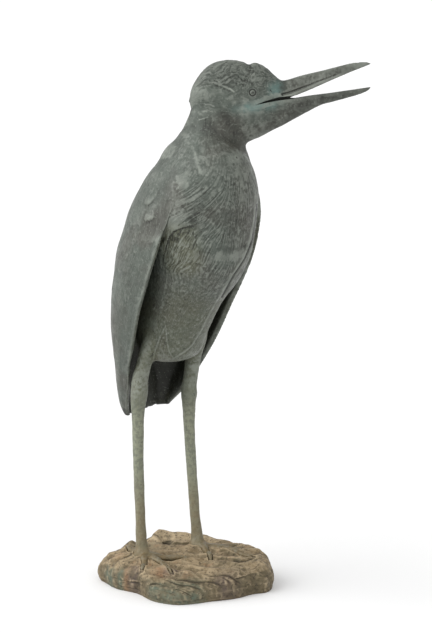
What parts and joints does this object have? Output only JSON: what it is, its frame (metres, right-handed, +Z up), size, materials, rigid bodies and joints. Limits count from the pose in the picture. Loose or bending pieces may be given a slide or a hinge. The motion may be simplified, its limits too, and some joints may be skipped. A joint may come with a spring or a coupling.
{
  "type": "heron garden sculpture",
  "caption": "Standing heron with its head turned and bill open, cast in bronze on an irregular rock that forms its foot.",
  "frame": {"origin": "middle of the rock's flat underside, on the surface that the sculpture stands on", "axes": "+Z up; -Y the way the bird's breast faces; +X the bird's left, over which its head is turned by 50 degrees"},
  "size_m": [0.3148, 0.3304, 0.8247],
  "materials": {
    "bird_patina": "cast bronze with a dull grey-green weathered patina, browner in the shade of the throat, olive on the thighs",
    "rock_patina": "cast bronze with a tan-brown weathered patina, green in the hollows, with orange-brown and dark specks"
  },
  "bodies": {
    "root": {"heron": "bird_patina", "rock_base": "rock_patina"}
  },
  "joints": []
}
